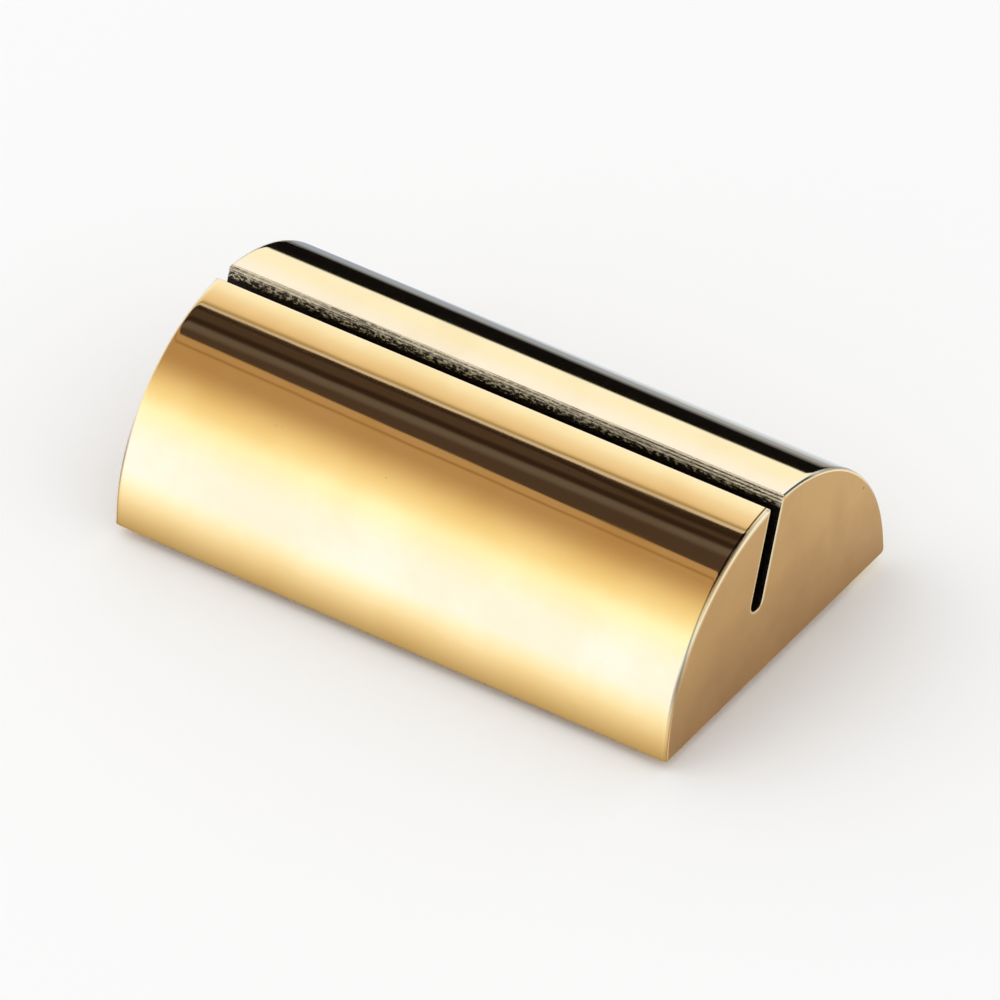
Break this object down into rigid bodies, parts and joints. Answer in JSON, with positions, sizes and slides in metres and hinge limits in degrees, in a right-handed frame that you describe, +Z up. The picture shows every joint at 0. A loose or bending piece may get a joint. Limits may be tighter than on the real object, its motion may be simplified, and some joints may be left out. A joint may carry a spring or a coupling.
{
  "type": "place card holder",
  "caption": "Solid half-round metal bar with a tilted slot along its top that holds a place card upright, on a non-slip pad.",
  "frame": {"origin": "middle of the footprint, at the level of the table that the pad rests on", "axes": "+X along the bar and its slot, -Y towards the front, from which the card is read, +Z up"},
  "size_m": [0.06, 0.036, 0.019],
  "materials": {
    "polished_gold": "mirror polished with a gold plated colour, satin on the two end faces",
    "adhesive_film": "white double-sided film",
    "pad_rubber": "matte black solid rubber sheet"
  },
  "bodies": {
    "root": {"half_round_bar": "polished_gold", "pad_adhesive": "adhesive_film", "non_slip_pad": "pad_rubber"}
  },
  "joints": []
}
